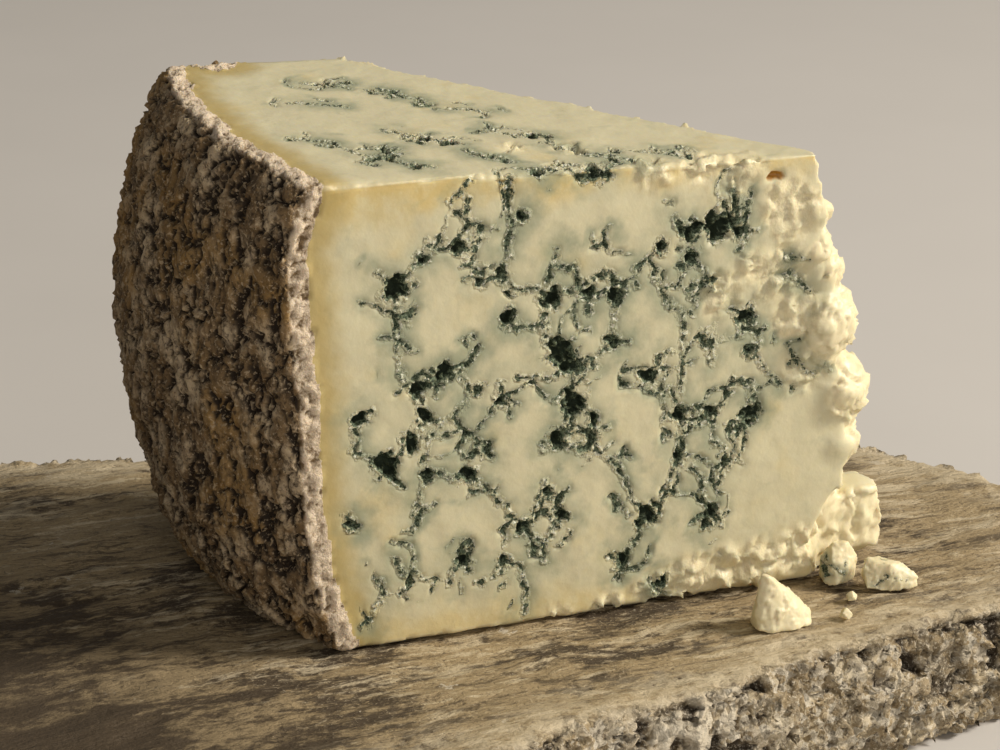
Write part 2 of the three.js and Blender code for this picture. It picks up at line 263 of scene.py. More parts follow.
class SurfaceTree(Graph):
    """A Geometry Nodes tree whose named inputs are the sizes of what it makes."""

    KINDS = {"float": "NodeSocketFloat", "object": "NodeSocketObject", "material": "NodeSocketMaterial",
             "geometry": "NodeSocketGeometry"}

    def __init__(self, name, **sizes):
        super().__init__(bpy.data.node_groups.new(name, "GeometryNodeTree"))
        interface = self.tree.interface
        interface.new_socket("Geometry", in_out="INPUT", socket_type=self.KINDS["geometry"])
        for key, kind in sizes.items():
            interface.new_socket(key, in_out="INPUT", socket_type=self.KINDS[kind])
        interface.new_socket("Geometry", in_out="OUTPUT", socket_type=self.KINDS["geometry"])
        self.given = self.node("NodeGroupInput").outputs

    def position_mm(self):
        position = self.node("GeometryNodeInputPosition").outputs[0]
        return self.vector("SCALE", position, scale=1 / MM)

    def normal(self):
        return self.node("GeometryNodeInputNormal").outputs[0]

    def store(self, geometry, name, value):
        inputs = {"Geometry": geometry, "Name": name, "Value": value}
        made = self.node("GeometryNodeStoreNamedAttribute", inputs, data_type="FLOAT", domain="POINT")
        return made.outputs[0]

    def stored(self, name):
        return self.node("GeometryNodeInputNamedAttribute", {"Name": name}, data_type="FLOAT").outputs[0]

    def blurred(self, value, rounds, kind="FLOAT"):
        made = self.node("GeometryNodeBlurAttribute", {"Iterations": rounds}, data_type=kind)
        self.feed(next(socket for socket in made.inputs if socket.enabled), value)
        return next(socket for socket in made.outputs if socket.enabled)

    def faces_near(self, geometry, wanted):
        """Millimetres to the nearest of the faces that are wanted."""
        inputs = {"Geometry": geometry, "Selection": wanted}
        kept = self.node("GeometryNodeSeparateGeometry", inputs, domain="FACE").outputs["Selection"]
        near = self.node("GeometryNodeProximity", {"Geometry": kept}, target_element="FACES")
        return self.mul(near.outputs["Distance"], 1 / MM)

    def push(self, geometry, distance_mm):
        """Moves the surface along its normals."""
        offset = self.vector("SCALE", self.normal(), scale=self.mul(distance_mm, MM))
        inputs = {"Geometry": geometry, "Offset": offset}
        return self.node("GeometryNodeSetPosition", inputs).outputs[0]

    def flat_foot(self, geometry, height):
        """Lifts whatever hangs below a height, in metres, up to it."""
        lowest = self.node("ShaderNodeCombineXYZ", {"X": -10.0, "Y": -10.0, "Z": height}).outputs[0]
        position = self.node("GeometryNodeInputPosition").outputs[0]
        inputs = {"Geometry": geometry, "Position": self.vector("MAXIMUM", position, lowest)}
        return self.node("GeometryNodeSetPosition", inputs).outputs[0]

    def guide(self, key):
        """The geometry of an object given as an input."""
        return self.node("GeometryNodeObjectInfo", {"Object": self.given[key]}).outputs["Geometry"]

    def finish(self, geometry):
        real = self.node("GeometryNodeRealizeInstances", {"Geometry": geometry}).outputs[0]
        smooth = self.node("GeometryNodeSetShadeSmooth", {"Geometry": real}).outputs[0]
        inputs = {"Geometry": smooth, "Material": self.given["Material"]}
        shown = self.node("GeometryNodeSetMaterial", inputs).outputs[0]
        self.feed(self.node("NodeGroupOutput").inputs[0], shown)


# ---- Meshes ----


def new_object(name, mesh):
    made = bpy.data.objects.new(name, mesh)
    bpy.context.scene.collection.objects.link(made)
    return made


def evaluated_mesh(obj, name):
    """A plain mesh of what an object's modifiers make."""
    bpy.context.view_layer.update()
    shown = obj.evaluated_get(bpy.context.evaluated_depsgraph_get())
    mesh = bpy.data.meshes.new_from_object(shown, depsgraph=bpy.context.evaluated_depsgraph_get())
    mesh.name = name
    return mesh


def merged_copy(node):
    """A CAD node's mesh as one closed skin."""
    mesh = frame["nodes"][node].data.copy()
    mesh.materials.clear()
    work = bmesh.new()
    work.from_mesh(mesh)
    bmesh.ops.remove_doubles(work, verts=work.verts, dist=0.001 * MM)
    work.to_mesh(mesh)
    work.free()
    return mesh


def even_mesh(node, spacing):
    """A CAD node's skin rebuilt from even squares."""
    source = new_object(node + "_source", merged_copy(node))
    remesh = source.modifiers.new("Even", "REMESH")
    remesh.mode = "VOXEL"
    remesh.voxel_size = spacing
    mesh = evaluated_mesh(source, node + "_even")
    bpy.data.objects.remove(source)
    return mesh


def refine(mesh, wanted):
    """Splits the faces that are wanted, a test of a face's normal and middle, into four."""
    work = bmesh.new()
    work.from_mesh(mesh)
    edges = {edge for face in work.faces if wanted(face.normal, face.calc_center_median())
             for edge in face.edges}
    bmesh.ops.subdivide_edges(work, edges=list(edges), cuts=1, use_grid_fill=True)
    bmesh.ops.triangulate(work, faces=[face for face in work.faces if len(face.verts) > 4])
    work.to_mesh(mesh)
    work.free()


def run_tree(mesh, tree, name, values):
    """The plain mesh that a tree makes of a mesh, with the tree's inputs set by their names."""
    host = new_object(name + "_host", mesh)
    modifier = host.modifiers.new("Surface", "NODES")
    modifier.node_group = tree
    for item in tree.interface.items_tree:
        if item.item_type == "SOCKET" and item.in_out == "INPUT" and item.name in values:
            modifier[item.identifier] = values[item.name]
    result = evaluated_mesh(host, name)
    bpy.data.objects.remove(host)
    return result


def hand_over(name, mesh, slot, *nodes):
    """Makes the finished piece, attaches it to the root body and hides the nodes it stands for."""
    piece = new_object(name, mesh)
    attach(piece, "root")
    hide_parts(*nodes)


def skin_of(node):
    """A CAD node's skin, to cast rays at."""
    mesh = merged_copy(node)
    work = bmesh.new()
    work.from_mesh(mesh)
    tree = BVHTree.FromBMesh(work)
    work.free()
    return tree


def guide_points(name, placed):
    """An object of bare points that each carry a radius, from pairs of a place and a radius."""
    placed = list(placed)
    mesh = bpy.data.meshes.new(name)
    mesh.from_pydata([place for place, _ in placed], [], [])
    mesh.attributes.new("radius", "FLOAT", "POINT").data.foreach_set("value", [r for _, r in placed])
    return new_object(name, mesh)


# ---- The veins ----

# Cracks on the front cut, in millimetres along it and up from the foot of its left corner. Each is
# its half width and the points it passes.
FRONT_CRACKS = (
    (0.9, (10, 74.5), (13, 71.5), (16, 74), (18, 76.5), (18.5, 77)),
    (0.6, (10, 70), (13, 71.5), (13.5, 67.5)),
    (0.3, (13.5, 67.5), (13.3, 62), (13, 57), (14.5, 53.5), (17, 51)),
    (0.7, (26.5, 86.5), (25.8, 83.5), (26.3, 81.5), (25, 79), (24.8, 77.5)),
    (0.8, (34.5, 90.5), (34, 88), (34.5, 85), (35, 82.5), (34.6, 79), (33.8, 75), (33, 71.5)),
    (0.7, (35, 83), (37, 82.5)),
    (0.7, (29, 71.3), (33, 71.3), (34.6, 69.3), (37, 68.2), (40, 68.4), (42.5, 66), (44.8, 66.5)),
    (0.8, (34.3, 65), (34.3, 62.5), (36.2, 61), (38, 61.3), (41, 60.3)),
    (0.7, (42.5, 66), (41.5, 63), (41.2, 60.5), (42, 58), (44.5, 55)),
    (0.8, (41.5, 69), (43, 72.5), (46, 71)),
    (0.5, (43.5, 75.5), (43, 72.5)),
    (0.8, (47, 71.5), (48, 67.5), (50, 65), (49.8, 62.5)),
    (0.9, (45.5, 66.8), (48, 66.8), (51, 69.6), (54, 69), (56.5, 67), (54.8, 64.5)),
    (0.8, (50, 65), (53, 65.5), (54.8, 64.5), (55, 61), (54.8, 58), (54.3, 55.8)),
    (0.8, (57.3, 66), (55.2, 64.5)),
    (0.7, (51.5, 53), (54.3, 55.8), (58.2, 55.8)),
    (0.8, (59, 70.3), (62, 72), (64.8, 74), (63.5, 73)),
    (0.7, (62, 71.5), (63.3, 67), (65.2, 64), (66.5, 61)),
    (0.6, (65.2, 65.5), (68, 66)),
    (0.5, (66.5, 61), (68.6, 60), (69.2, 57), (69, 50), (68.8, 44)),
    (1.0, (66.5, 79), (68, 76.5), (72, 76), (75.5, 76.2), (79, 77), (78.4, 81), (78, 83)),
    (1.0, (80.6, 80), (80.2, 76), (79.7, 71.5)),
    (0.9, (69.5, 76), (70, 73), (70.3, 70.5)),
    (0.6, (70.3, 71), (72.2, 68.4), (73.5, 65.4), (75, 65.6)),
    (0.7, (79, 59.5), (81.5, 57.6), (83, 60)),
    (0.5, (81.5, 57.6), (84, 54), (84.5, 49), (86.2, 45.5), (89, 43)),
    (0.6, (82.5, 51.5), (82.7, 49.5), (84.5, 49)),
    (0.5, (92.3, 48), (94, 45.2), (96.3, 44)),
    (0.3, (90, 65.5), (93, 62.7), (96, 61)),
    (0.9, (16.5, 50), (19, 54.3), (22, 54), (26, 55.3), (28, 58)),
    (0.7, (22, 54), (25.5, 52), (27, 49.8), (29, 49.2)),
    (1.2, (17, 52), (17.8, 49), (18.6, 46), (16, 41.2), (13.5, 41.8)),
    (0.7, (13.5, 40.5), (12, 38.3), (9.5, 38.2), (7, 39), (4.8, 40.5), (5.3, 44), (5.8, 47), (8.5, 48)),
    (1.2, (10.3, 37.5), (11, 35), (13.5, 32.8)),
    (0.8, (18.6, 46), (21, 44.2), (24, 44.6), (26, 42), (28, 39), (29.6, 37.4), (31, 36)),
    (0.6, (24.2, 45), (26.5, 48.8), (28.5, 49.5)),
    (0.7, (33, 50.5), (33.4, 46.6), (34.5, 48)),
    (0.7, (18.6, 34), (21.5, 33.8), (24, 32.6), (26.5, 33), (29, 30), (32, 26.8), (34, 25.3), (35.6, 22)),
    (0.8, (35.6, 22), (37.5, 20.5), (40, 18.3), (41.5, 16.5), (42, 13)),
    (0.7, (38, 21), (39.5, 24), (42, 26.8), (44, 24.5), (45, 22), (44, 19.4), (41.7, 16.6)),
    (0.5, (41.5, 29), (42, 26.8)),
    (0.6, (18.6, 34), (17.3, 30.6), (15.7, 26.5)),
    (0.9, (3.6, 28), (4, 26.5), (5, 25)),
    (0.6, (12, 18), (13.5, 15), (15.3, 12.4), (12.6, 11)),
    (0.6, (8, 14.5), (10, 11), (8, 8), (7, 5)),
    (0.8, (22.5, 11.5), (24, 14), (25.5, 16.2), (26.6, 13)),
    (0.6, (31.2, 11.3), (33, 13.8), (34, 15), (33.2, 12)),
    (0.6, (36.5, 13), (37, 9), (38, 5.2), (37.6, 2.5)),
    (1.3, (41, 36.7), (44.5, 37.8), (46.8, 40), (47, 42)),
    (0.7, (36, 51.3), (39, 50.4), (43, 50.2), (45.5, 51.5)),
    (1.0, (47, 42), (46, 45.5), (46.8, 49.5), (45.5, 53)),
    (0.9, (49.5, 43), (51.3, 39.8), (51.6, 36), (52.2, 33.5), (54.6, 31.5)),
    (0.7, (54.6, 31.5), (57, 29.6), (58, 26), (58.6, 23.5), (60.2, 21.7), (62.5, 19.4)),
    (0.8, (62.5, 19.4), (61, 16), (60, 13.3), (57.6, 10.6), (56, 8.4)),
    (0.6, (66.7, 23.5), (65.2, 21), (63.3, 20)),
    (0.9, (66.5, 45), (67.6, 42), (68.6, 39.6), (69.2, 36.5), (68.4, 33.5), (68.6, 30.5)),
    (0.7, (68.6, 30.5), (67.5, 27), (67, 24.4)),
    (0.8, (69.5, 40), (73, 39.8), (74.6, 38.6), (76.6, 39.6), (79, 42), (79.5, 45.5)),
    (0.8, (83.4, 38), (81.6, 35), (80.7, 32.8)),
    (0.8, (75.4, 36), (75.2, 33), (78, 30.8), (78.2, 26.5), (76.5, 23)),
    (0.6, (72, 28), (73.6, 25.8), (73.6, 22), (76, 18.3), (75, 15.3)),
    (0.7, (60.3, 48.6), (62, 47.6), (64.2, 48.6)),
    (0.5, (64.2, 48.6), (64.4, 51.5), (66.6, 52.5)),
    (0.5, (65, 3), (66, 5), (66.5, 1)),
    (0.4, (74, 55), (75.2, 52.3), (74.6, 49)),
)

# Hollows on the front cut: a place along and up, and a radius.
FRONT_HOLLOWS = (
    (13, 71.5, 2.0), (18, 76.4, 1.0), (24.8, 77.6, 1.3), (36.8, 82.6, 0.9), (29, 71.2, 1.2),
    (33, 71.4, 1.3), (34.3, 62.6, 1.5), (42.6, 66, 2.0), (44.4, 55.2, 2.9), (46.8, 52, 2.0),
    (52, 88.8, 1.8), (53, 75.3, 0.5), (75.3, 76.2, 2.9), (70, 76, 1.9), (79.9, 75, 1.3),
    (70.2, 71, 1.5), (64, 73.5, 1.2), (54.4, 56, 1.4), (54.8, 65, 1.3), (49.6, 66.3, 1.1),
    (81.6, 57.6, 1.7), (82.6, 50.4, 1.1), (74.8, 65.5, 0.8), (62, 48, 1.5), (22, 53.8, 1.7),
    (17, 51.2, 1.9), (28.6, 49.6, 1.1), (5.8, 47, 1.4), (18.2, 46, 1.5), (15.7, 41.2, 2.0),
    (10.4, 36.8, 2.5), (33.2, 47.2, 1.1), (26.4, 33, 1.5), (18.7, 33.8, 1.1), (37.5, 20.6, 1.5),
    (42, 27, 1.1), (45, 22, 1.3), (4.2, 26.2, 1.3), (25.4, 16, 1.5), (29.5, 37.6, 1.1),
    (44, 37.8, 1.9), (47, 44.5, 2.4), (50.8, 40.6, 1.3), (62.5, 19.2, 2.4), (57.4, 10.5, 1.4),
    (68.6, 39.6, 1.6), (68.8, 30.6, 1.4), (83.4, 38, 2.1), (74.6, 38.8, 1.1), (78.1, 28.4, 1.1),
    (76, 18.4, 1.1), (75, 15.4, 1.2), (66, 4.6, 1.2), (28.5, 10.2, 0.5), (33.6, 14, 1.0),
)

# Cracks and hollows on the upper cut, in millimetres along the front cut and back from it.
TOP_CRACKS = (
    (0.6, (4, 25), (8, 22.5), (10, 18), (12, 14), (16, 12.5)),
    (0.5, (13, 13), (16, 15), (18.5, 17)),
    (0.5, (17, 10), (19, 7.5), (22, 6.5)),
    (0.6, (19.5, 28), (22, 25), (25, 21.5), (28.5, 19), (31, 17.5)),
    (0.5, (31, 13.5), (32.5, 10), (34, 8.5)),
    (0.4, (36, 38.5), (39, 37), (42, 35)),
    (0.5, (38.5, 25), (41, 22.5), (45, 20.2), (48.5, 19)),
    (0.4, (46, 15.5), (49, 12), (52, 8), (55, 6.5)),
    (0.4, (25.5, 52), (28.5, 47.5), (32, 43.5)),
    (0.3, (6, 46), (11, 44), (16, 42.5)),
    (0.3, (12, 58), (16, 56), (21, 56.5)),
    (0.6, (36, 3.5), (40, 1.5), (43, 2), (47, 3), (50, 1)),
    (0.4, (55, 8), (58, 5), (61, 2.5)),
    (0.3, (64, 8), (67, 6), (69, 6.5)),
)
TOP_HOLLOWS = (
    (13, 12.6, 1.5), (15.5, 12.3, 1.3), (17, 16.2, 0.8), (19, 7.6, 0.9), (25, 21.5, 1.3),
    (28.6, 19, 1.7), (32, 11, 0.7), (45.5, 20, 1.4), (48, 19.2, 1.0), (40, 1.2, 1.3),
    (43, 1.5, 0.9), (51, 0.5, 1.8), (27.5, 50, 0.7), (14, 57, 0.8), (39, 37, 0.6),
)

# Small orange holes without mould in the front cut: a place along and up, and a radius.
ORANGE_HOLES = ((85.6, 84.8, 0.75), (86.6, 84.9, 0.8), (87.6, 84.7, 0.7))

# Where the front cut crumbles: a place along and up, and a radius.
LOOSE_CURD = (
    (90, 78, 6), (88, 66, 6), (92, 56, 5), (95, 46, 5), (94, 7, 5), (86, 5, 5), (80, 5, 5), (72, 4, 5),
    (64, 3, 4), (55, 1.5, 3), (45, 0.5, 2.5), (62, 89, 4), (72, 89, 4), (80, 87, 4), (76, 63, 4),
    (83, 68, 3), (50, 90.5, 3), (40, 91, 2.5),
)

GUIDE_SPACING = 0.5
CORNER_REACH = 0.63 * MM  # how far the corner stands out just over its foot
TIP_START = 88 * MM  # along the front cut from its corner, where the broken tip begins
RIND_EDGE = 1.2 * MM  # how far past the corner a face that looks left is still rind
VEIN_MARGIN = 1.0  # millimetres around each vein where the mesh is refined


def wedge_foot():
    """The foot of the front cut's left corner, in metres, and the heights of the wedge's box."""
    mesh = frame["nodes"]["cheese_wedge"].data
    front = [face for face in mesh.polygons if face.normal.y < -0.99 and face.area > 2 * MM * MM]
    weight = sum(face.area for face in front)
    plane = sum(face.center.y * face.area for face in front) / weight
    low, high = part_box("cheese_wedge")
    ends = [mesh.vertices[i].co for face in front for i in face.vertices]
    corner = min(place.x for place in ends if place.z < low.z + 1 * MM)
    return Vector((corner - CORNER_REACH, plane, low.z)), high.z


def along(line):
    """Points a guide spacing apart along a line of points, ends included."""
    half_width, *stops = line
    for start, end in zip(stops, stops[1:]):
        span = math.dist(start, end)
        count = max(1, round(span / GUIDE_SPACING))
        for i in range(count + 1):
            share = i / count
            yield (start[0] + (end[0] - start[0]) * share, start[1] + (end[1] - start[1]) * share,
                   half_width)


def on_front(skin, foot, spots):
    """The spots (along, up, radius) placed on the front cut."""
    for x, z, radius in spots:
        start = Vector((foot.x + x * MM, foot.y - 0.05, foot.z + z * MM))
        hit = skin.ray_cast(start, Vector((0, 1, 0)))[0]
        if hit:
            yield hit, radius


def on_top(skin, foot, top, spots):
    """The spots (along, back, radius) placed on the upper cut."""
    for x, y, radius in spots:
        start = Vector((foot.x + x * MM, foot.y + y * MM, top + 0.05))
        hit = skin.ray_cast(start, Vector((0, 0, -1)))[0]
        if hit:
            yield hit, radius


def wedge_guides():
    """Objects of points for the wedge's cracks, hollows, orange holes and crumbling places."""
    skin = skin_of("cheese_wedge")
    foot, top = wedge_foot()
    front_line = [spot for line in FRONT_CRACKS for spot in along(line)]
    top_line = [spot for line in TOP_CRACKS for spot in along(line)]
    cracks = [*on_front(skin, foot, front_line), *on_top(skin, foot, top, top_line)]
    hollows = [*on_front(skin, foot, FRONT_HOLLOWS), *on_top(skin, foot, top, TOP_HOLLOWS)]
    return {
        "Cracks": guide_points("vein_cracks", cracks),
        "Hollows": guide_points("vein_hollows", hollows),
        "Holes": guide_points("orange_holes", on_front(skin, foot, ORANGE_HOLES)),
        "Loose curd": guide_points("loose_curd", on_front(skin, foot, LOOSE_CURD)),
    }


def near_points(guides, margin):
    """A test of whether a face lies within a margin in millimetres of any point of these guides."""
    places = [(vertex.co.copy(), guide.data.attributes["radius"].data[i].value)
              for guide in guides for i, vertex in enumerate(guide.data.vertices)]
    tree = KDTree(len(places))
    for i, (place, _) in enumerate(places):
        tree.insert(place, i)
    tree.balance()

    def test(normal, middle):
        _, index, distance = tree.find(middle)
        return distance < (places[index][1] + margin) * MM

    return test


# ---- The cheese's surface ----


def nearest_guide(g, place, key):
    """Millimetres from a place to the nearest point of a guide, and that point's radius."""
    guide = g.guide(key)
    at = g.vector("SCALE", place, scale=MM)
    nearest = g.node("GeometryNodeSampleNearest", {"Geometry": guide, "Sample Position": at}).outputs[0]

    def sample(value, kind):
        inputs = {"Geometry": guide, "Value": value, "Index": nearest}
        return g.node("GeometryNodeSampleIndex", inputs, data_type=kind).outputs[0]

    centre = sample(g.node("GeometryNodeInputPosition").outputs[0], "FLOAT_VECTOR")
    apart = g.mul(g.vector("DISTANCE", at, centre), 1 / MM)
    return apart, sample(g.stored("radius"), "FLOAT")


def vein_reach(g, place, backward, under):
    """Millimetres from the edge of the nearest crack or hollow, negative inside it."""
    given = g.given
    ragged = g.sway(g.sway(g.sway(g.position_mm(), 4.2, 1.3), 1.5, 0.7), 0.6, 0.3)
    beads = g.noise(place, 2.0, 2.0)
    crack_apart, crack_radius = nearest_guide(g, ragged, "Cracks")
    crack = g.sub(crack_apart, g.mul(crack_radius, g.step(beads, 0.34, 0.7, 0.06, 0.55)))
    hollow_apart, hollow_radius = nearest_guide(g, ragged, "Hollows")
    lobes = g.step(g.noise(place, 1.8, 2.0, shift=1.0), 0.32, 0.68, 0.6, 1.3)
    hollow = g.sub(hollow_apart, g.mul(hollow_radius, lobes))

    # A finer net of thin cracks, close to the guided ones only.
    net_place = g.sway(g.sway(place, 6.0, 2.4), 1.5, 0.6)
    net = g.mul(g.cells(net_place, 7.5, "DISTANCE_TO_EDGE"), 7.5)
    near = g.math("MINIMUM", crack_apart, hollow_apart)
    some = g.step(g.noise(place, 9.0, 1.0, shift=2.0), 0.46, 0.53, 3.0, 0.0)
    thin = g.sum(g.mul(net, 1.5), g.step(near, 3.5, 6.0, -0.05, 4.0), some)
    thin = g.sub(thin, g.step(beads, 0.35, 0.7, 0.0, 0.35))

    # The veins of the cut at the back, which are a net all through.
    wide_place = g.sway(g.sway(place, 8.0, 3.4), 1.6, 0.7)
    wide = g.mul(g.cells(wide_place, 11.0, "DISTANCE_TO_EDGE"), 11.0)
    open_here = g.step(g.noise(place, 12.0, 1.0, shift=3.0), 0.42, 0.66, -0.9, 1.7)
    wide = g.sub(wide, g.mul(open_here, g.step(beads, 0.3, 0.7, 0.25, 1.2)))
    away = g.sub(1.0, g.mul(backward, given["Inner veins"]))
    wide = g.add(wide, g.mul(away, 6.0))

    reach = g.math("MINIMUM", g.math("MINIMUM", crack, hollow), g.math("MINIMUM", thin, wide))
    reach = g.add(reach, g.step(under, 6.0, 3.5, 0.0, 5.0))
    return g.mul(reach, given["Tightness"])


def rind_height(g, place):
    """The rind's relief: crusts and lumps that run down it, crevices between them, and grains."""
    tall = g.vector("MULTIPLY", place, (1.0, 1.0, 0.72))
    lumps = g.uneven(2.2, tall, 7.0, 2.0)
    crusts = g.step(g.cells(g.sway(tall, 3.0, 1.4), 3.2), 0.75, 0.1, -0.2, 0.5)
    grain = g.uneven(2.2, place, 1.5, 3.0, 0.75)
    line = g.math("ABSOLUTE", g.sub(g.noise(tall, 6.0, 4.0, 0.6, 4.0), 0.5))
    crevice = g.step(line, 0.045, 0.0, 0.0, 1.7)
    pits = g.step(g.noise(tall, 3.6, 2.0, shift=7.0), 0.60, 0.72, 0.0, 1.2)
    return g.sub(g.sum(lumps, crusts, grain), g.add(crevice, pits))


def cheese_tree():
    """Turns a plain solid into cheese: veins, broken curd and rind, with their masks as attributes."""
    kinds = {"Cracks": "object", "Hollows": "object", "Holes": "object", "Loose curd": "object"}
    lengths = ("Vein depth", "Curd size", "Curd relief", "Rind thickness", "Rind relief", "Rind edge",
               "Rind distance", "Foot", "Crown", "Tip edge", "Front plane")
    numbers = ("Inner veins", "All broken", "Tightness", "Seed")
    kinds.update({size: "float" for size in (*lengths, *numbers)})
    g = SurfaceTree("Cheese surface", **kinds, Material="material")
    given = g.given
    mm = {size: g.mul(given[size], 1 / MM) for size in lengths}
    seed = g.vector("SCALE", (13.0, 7.0, 29.0), scale=given["Seed"])
    position = g.position_mm()
    place = g.vector("ADD", position, seed)
    normal = g.normal()
    geometry = given["Geometry"]

    # How far a point lies under the rind, which is the face that looks left.
    leftward = g.math("LESS_THAN", g.axis(normal, (1, 0, 0)), -0.62)
    at_left = g.math("LESS_THAN", g.axis(position, (1, 0, 0)), mm["Rind edge"])
    under = g.add(g.faces_near(geometry, g.mul(leftward, at_left)), mm["Rind distance"])
    edge = g.add(under, g.uneven(2.6, place, 5.0, 3.0))
    on_rind = g.step(g.sub(edge, mm["Rind thickness"]), 0.35, -0.35)

    # Broken curd: wherever the surface isn't one of the flat cuts, away from their edges.
    frontward = g.axis(normal, (0, -1, 0))
    past_tip = g.sub(g.axis(position, (1, 0, 0)), mm["Tip edge"])
    whole = g.step(past_tip, 0.0, -6.0)
    backward = g.mul(g.step(g.axis(normal, (0, 1, 0)), 0.45, 0.6), whole)
    level = g.math("ABSOLUTE", g.axis(normal, (0, 0, 1)))
    off_plane = g.math("ABSOLUTE", g.sub(g.axis(position, (0, 1, 0)), mm["Front plane"]))
    in_plane = g.math("MAXIMUM", g.step(off_plane, 1.6, 0.7), g.step(past_tip, 0.0, -6.0))
    facing = g.math("MAXIMUM", g.mul(frontward, in_plane), level)
    cut = g.math("MAXIMUM", g.step(facing, 0.86, 0.985), backward)
    broken = g.step(g.blurred(g.sub(1.0, cut), 5), 0.55, 0.95)
    broken = g.math("MAXIMUM", broken, given["All broken"])
    front = g.step(frontward, 0.8, 0.95)

    apart, radius = nearest_guide(g, g.sway(position, 5.0, 2.5), "Loose curd")
    ridge = g.mul(g.step(g.math("MAXIMUM", frontward, level), 0.96, 0.8), whole)
    loose = g.math("MAXIMUM", g.step(g.sub(apart, radius), 2.0, -2.0), g.mul(ridge, 0.6))
    apart, radius = nearest_guide(g, g.sway(position, 1.5, 0.5), "Holes")
    hole = g.sub(apart, radius)

    # Relief of the veins: an open crack with crumbs in it, and a crust of grains along its lips.
    reach = vein_reach(g, place, backward, under)
    crumbs = g.step(g.noise(place, 1.2, 2.0, shift=5.0), 0.36, 0.6, 0.35, 1.0)
    depth = g.both(g.step(reach, 0.35, -0.8), crumbs, mm["Vein depth"])
    lips = g.both(g.step(reach, 0.7, 0.2), g.step(reach, -0.4, 0.1))
    crust = g.both(lips, g.sub(g.noise(place, 0.85, 2.0, 0.6), 0.44), 1.9)
    sunk = g.step(reach, 1.4, 0.2, 0.0, 0.2)
    pit = g.step(hole, 0.3, -0.6, 0.0, 1.8)
    vein_relief = g.sub(crust, g.sum(depth, sunk, pit))

    # Relief of the paste, of the broken curd and of the places that crumble.
    dents = g.uneven(0.5, place, 8.0, 1.0, 0.5)
    per_clod = g.math("DIVIDE", 1.0, mm["Curd size"])
    clod_place = g.vector("SCALE", g.sway(place, 4.0, 1.2), scale=per_clod)
    clods = g.step(g.cells(clod_place, 1.0, "DISTANCE_TO_EDGE"), 0.0, 0.25, -0.6, 0.15)
    flats = g.add(g.mul(g.chips(clod_place, 0.8), 5.0), g.mul(g.chips(clod_place, 0.27), 5.0))
    grains = g.uneven(0.7, place, 1.0, 2.0, 0.6)
    curd = g.both(g.sum(clods, flats, grains), mm["Curd relief"], broken)
    crumbly_place = g.sway(place, 3.0, 1.5)
    flakes = g.sum(g.mul(g.chips(crumbly_place, 3.4), 0.9), g.mul(g.chips(place, 1.5), 0.8),
                      g.uneven(0.8, crumbly_place, 2.2, 3.0))
    crumbly = g.both(flakes, loose, g.sub(1.0, broken))

    rind = g.both(rind_height(g, place), mm["Rind relief"], 0.6)
    cut_rind = g.step(under, 0.4, 1.4)
    flaky_place = g.vector("MULTIPLY", g.sway(place, 2.5, 1.2), (1.0, 1.0, 0.5))
    lumps = g.add(g.uneven(4.6, flaky_place, 1.5, 4.0, 0.72, middle=0.47),
                     g.mul(g.chips(place, 2.2), 0.6))
    rind = g.add(g.mul(rind, g.sub(1.0, cut_rind)), g.mul(lumps, cut_rind))

    cheese = g.sum(vein_relief, dents, curd, crumbly)
    relief = g.add(g.mul(cheese, g.sub(1.0, on_rind)), g.mul(rind, on_rind))

    # Where the paste is yellower: under the upper edge and at the foot of the front, and where it broke.
    height = g.add(g.axis(position, (0, 0, 1)), g.uneven(14.0, place, 9.0))
    high = g.step(g.sub(height, mm["Crown"]), -13.0, -6.0)
    low = g.step(g.sub(height, mm["Foot"]), 10.0, 2.0, 0.0, 0.6)
    aged = g.mul(front, g.math("MAXIMUM", high, low))
    aged = g.math("MAXIMUM", aged, g.mul(loose, 0.5))
    aged = g.math("MAXIMUM", aged, g.mul(broken, 0.5))

    masks = {"vein": reach, "depth": depth, "under_rind": under, "on_rind": on_rind, "broken": broken,
             "loose": loose, "hole": hole, "aged": aged, "relief": relief}
    for name, value in masks.items():
        geometry = g.store(geometry, name, value)
    softened = g.blurred(g.node("GeometryNodeInputPosition").outputs[0], 1, "FLOAT_VECTOR")
    inputs = {"Geometry": geometry, "Selection": g.math("GREATER_THAN", g.stored("broken"), 0.5),
              "Position": softened}
    geometry = g.node("GeometryNodeSetPosition", inputs).outputs[0]
    geometry = g.push(geometry, g.stored("relief"))
    g.finish(g.flat_foot(geometry, given["Foot"]))
    return g.tree


# ---- Materials ----


def new_material(name):
    """A material with an empty surface shader: its graph, shader node and place in millimetres."""
    material = bpy.data.materials.new(name)
    material.use_nodes = True
    graph = Graph(material.node_tree)
    shader = material.node_tree.nodes["Principled BSDF"]
    coordinates = graph.node("ShaderNodeTexCoord").outputs["Object"]
    return material, graph, shader, graph.vector("SCALE", coordinates, scale=1 / MM)


def scaled(tint, share):
    return tuple(min(1.0, value * share) for value in tint)


def bump(graph, shader, height, distance_mm, strength=1.0):
    inputs = {"Height": height, "Distance": distance_mm * MM, "Strength": strength}
    graph.feed(shader.inputs["Normal"], graph.node("ShaderNodeBump", inputs).outputs[0])


